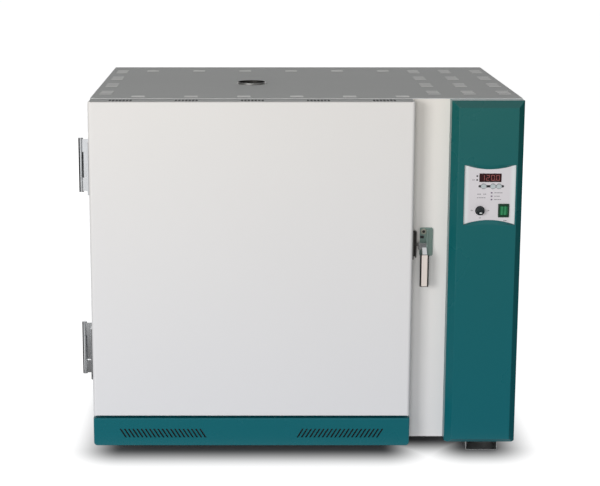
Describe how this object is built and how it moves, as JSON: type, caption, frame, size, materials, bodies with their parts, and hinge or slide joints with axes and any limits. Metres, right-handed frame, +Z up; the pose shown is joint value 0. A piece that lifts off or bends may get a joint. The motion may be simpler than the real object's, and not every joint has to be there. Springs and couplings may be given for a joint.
{
  "type": "laboratory oven",
  "caption": "Bench-top forced-air drying oven with an insulated side-hinged door, wire shelves, a slotted plinth and a control column on its right front.",
  "frame": {"origin": "centre of the assembly's box at floor level, under the feet", "axes": "+X to the right as seen from the front, +Y to the back, +Z up; the door faces -Y"},
  "size_m": [1.008, 0.7238, 0.8345],
  "materials": {
    "ivory_paint": "fine semi-gloss powder coat, warm white",
    "top_paint": "fine semi-gloss powder coat, pale grey",
    "teal_paint": "semi-gloss powder coat, dark teal",
    "chrome": "polished chrome plate",
    "stainless": "cold-rolled stainless sheet",
    "stainless_wire": "electropolished wire",
    "heater_sheath": "heat-darkened steel sheath",
    "galvanised": "zinc-coated sheet",
    "silver_plate": "matt silver foil on a metal plate",
    "display_red": "dark red filter window",
    "key_ivory": "satin pale grey",
    "black_plastic": "satin black",
    "switch_dark": "dark green-black",
    "rocker_green": "translucent lit green",
    "circuit_board": "green solder mask",
    "silicone_grey": "matt silicone",
    "mineral_wool": "loose mineral wool",
    "motor_paint": "satin dark grey",
    "heat_sink": "black anodised"
  },
  "bodies": {
    "root": {"left_side_panel": "ivory_paint", "right_side_panel": "ivory_paint", "top_panel": "top_paint", "back_panel": "galvanised", "bottom_pan": "galvanised", "front_frame": "ivory_paint", "compartment_wall": "galvanised", "plinth_cover": "teal_paint", "foot_front_left": "galvanised", "foot_front_right": "galvanised", "foot_rear_left": "galvanised", "foot_rear_right": "galvanised", "chamber_liner": "stainless", "insulation_jacket": "mineral_wool", "air_baffle": "stainless", "heater_inner": "heater_sheath", "heater_outer": "heater_sheath", "fan_motor": "motor_paint", "temperature_probe": "stainless", "shelf_rail_left": "stainless", "shelf_rail_right": "stainless", "vent_pipe": "stainless", "hinge_lower_frame_leaf": "chrome", "hinge_lower_pin": "chrome", "hinge_upper_frame_leaf": "chrome", "hinge_upper_pin": "chrome", "latch_base": "chrome", "latch_pin": "chrome", "column_cover": "teal_paint", "control_plate": "silver_plate", "display_lens": "display_red", "display_module": "black_plastic", "control_board": "circuit_board", "limiter_body": "black_plastic", "power_switch_bezel": "switch_dark", "electrics_tray": "galvanised", "relay_heat_sink": "heat_sink", "terminal_block": "key_ivory", "power_inlet": "black_plastic"},
    "door": {"door_outer_skin": "ivory_paint", "door_inner_skin": "stainless", "door_insulation": "mineral_wool", "door_gasket": "silicone_grey", "door_keeper": "chrome", "hinge_lower_door_leaf": "chrome", "hinge_upper_door_leaf": "chrome"},
    "latch": {"latch_lever": "chrome"},
    "fan": {"fan_wheel": "stainless"},
    "damper": {"vent_damper": "stainless"},
    "lower_shelf": {"shelf_lower": "stainless_wire"},
    "upper_shelf": {"shelf_upper": "stainless_wire"},
    "knob": {"limiter_knob": "black_plastic"},
    "rocker": {"power_rocker": "rocker_green"},
    "set_key": {"key_set": "key_ivory"},
    "down_key": {"key_down": "key_ivory"},
    "up_key": {"key_up": "key_ivory"}
  },
  "joints": [
    {"name": "door_swing", "type": "hinge", "parent": "root", "child": "door", "pos_m": [-0.4984, -0.2979, 0.465], "axis": [0, 0, -1], "range_deg": [0, 170]},
    {"name": "latch_pull", "type": "hinge", "parent": "root", "child": "latch", "pos_m": [0.2841, -0.3142, 0.49058], "axis": [-1, 0, 0], "range_deg": [0, 55]},
    {"name": "fan_spin", "type": "hinge", "parent": "root", "child": "fan", "pos_m": [-0.1105, 0.18, 0.465], "axis": [0, 1, 0], "continuous": true},
    {"name": "damper_turn", "type": "hinge", "parent": "root", "child": "damper", "pos_m": [-0.1105, -0.01408, 0.7945], "axis": [1, 0, 0], "range_deg": [0, 90]},
    {"name": "lower_shelf_slide", "type": "slide", "parent": "root", "child": "lower_shelf", "axis": [0, -1, 0], "range_m": [0, 0.045]},
    {"name": "upper_shelf_slide", "type": "slide", "parent": "root", "child": "upper_shelf", "axis": [0, -1, 0], "range_m": [0, 0.045]},
    {"name": "knob_turn", "type": "hinge", "parent": "root", "child": "knob", "pos_m": [0.4061, -0.33, 0.5799], "axis": [0, 1, 0], "range_deg": [-150, 150]},
    {"name": "rocker_tilt", "type": "hinge", "parent": "root", "child": "rocker", "pos_m": [0.4595, -0.34024, 0.58], "axis": [-1, 0, 0], "range_deg": [0, 16]},
    {"name": "set_key_press", "type": "slide", "parent": "root", "child": "set_key", "axis": [0, 1, 0], "range_m": [0, 0.001], "stiffness_N_per_m": 400},
    {"name": "down_key_press", "type": "slide", "parent": "root", "child": "down_key", "axis": [0, 1, 0], "range_m": [0, 0.001], "stiffness_N_per_m": 400},
    {"name": "up_key_press", "type": "slide", "parent": "root", "child": "up_key", "axis": [0, 1, 0], "range_m": [0, 0.001], "stiffness_N_per_m": 400}
  ]
}
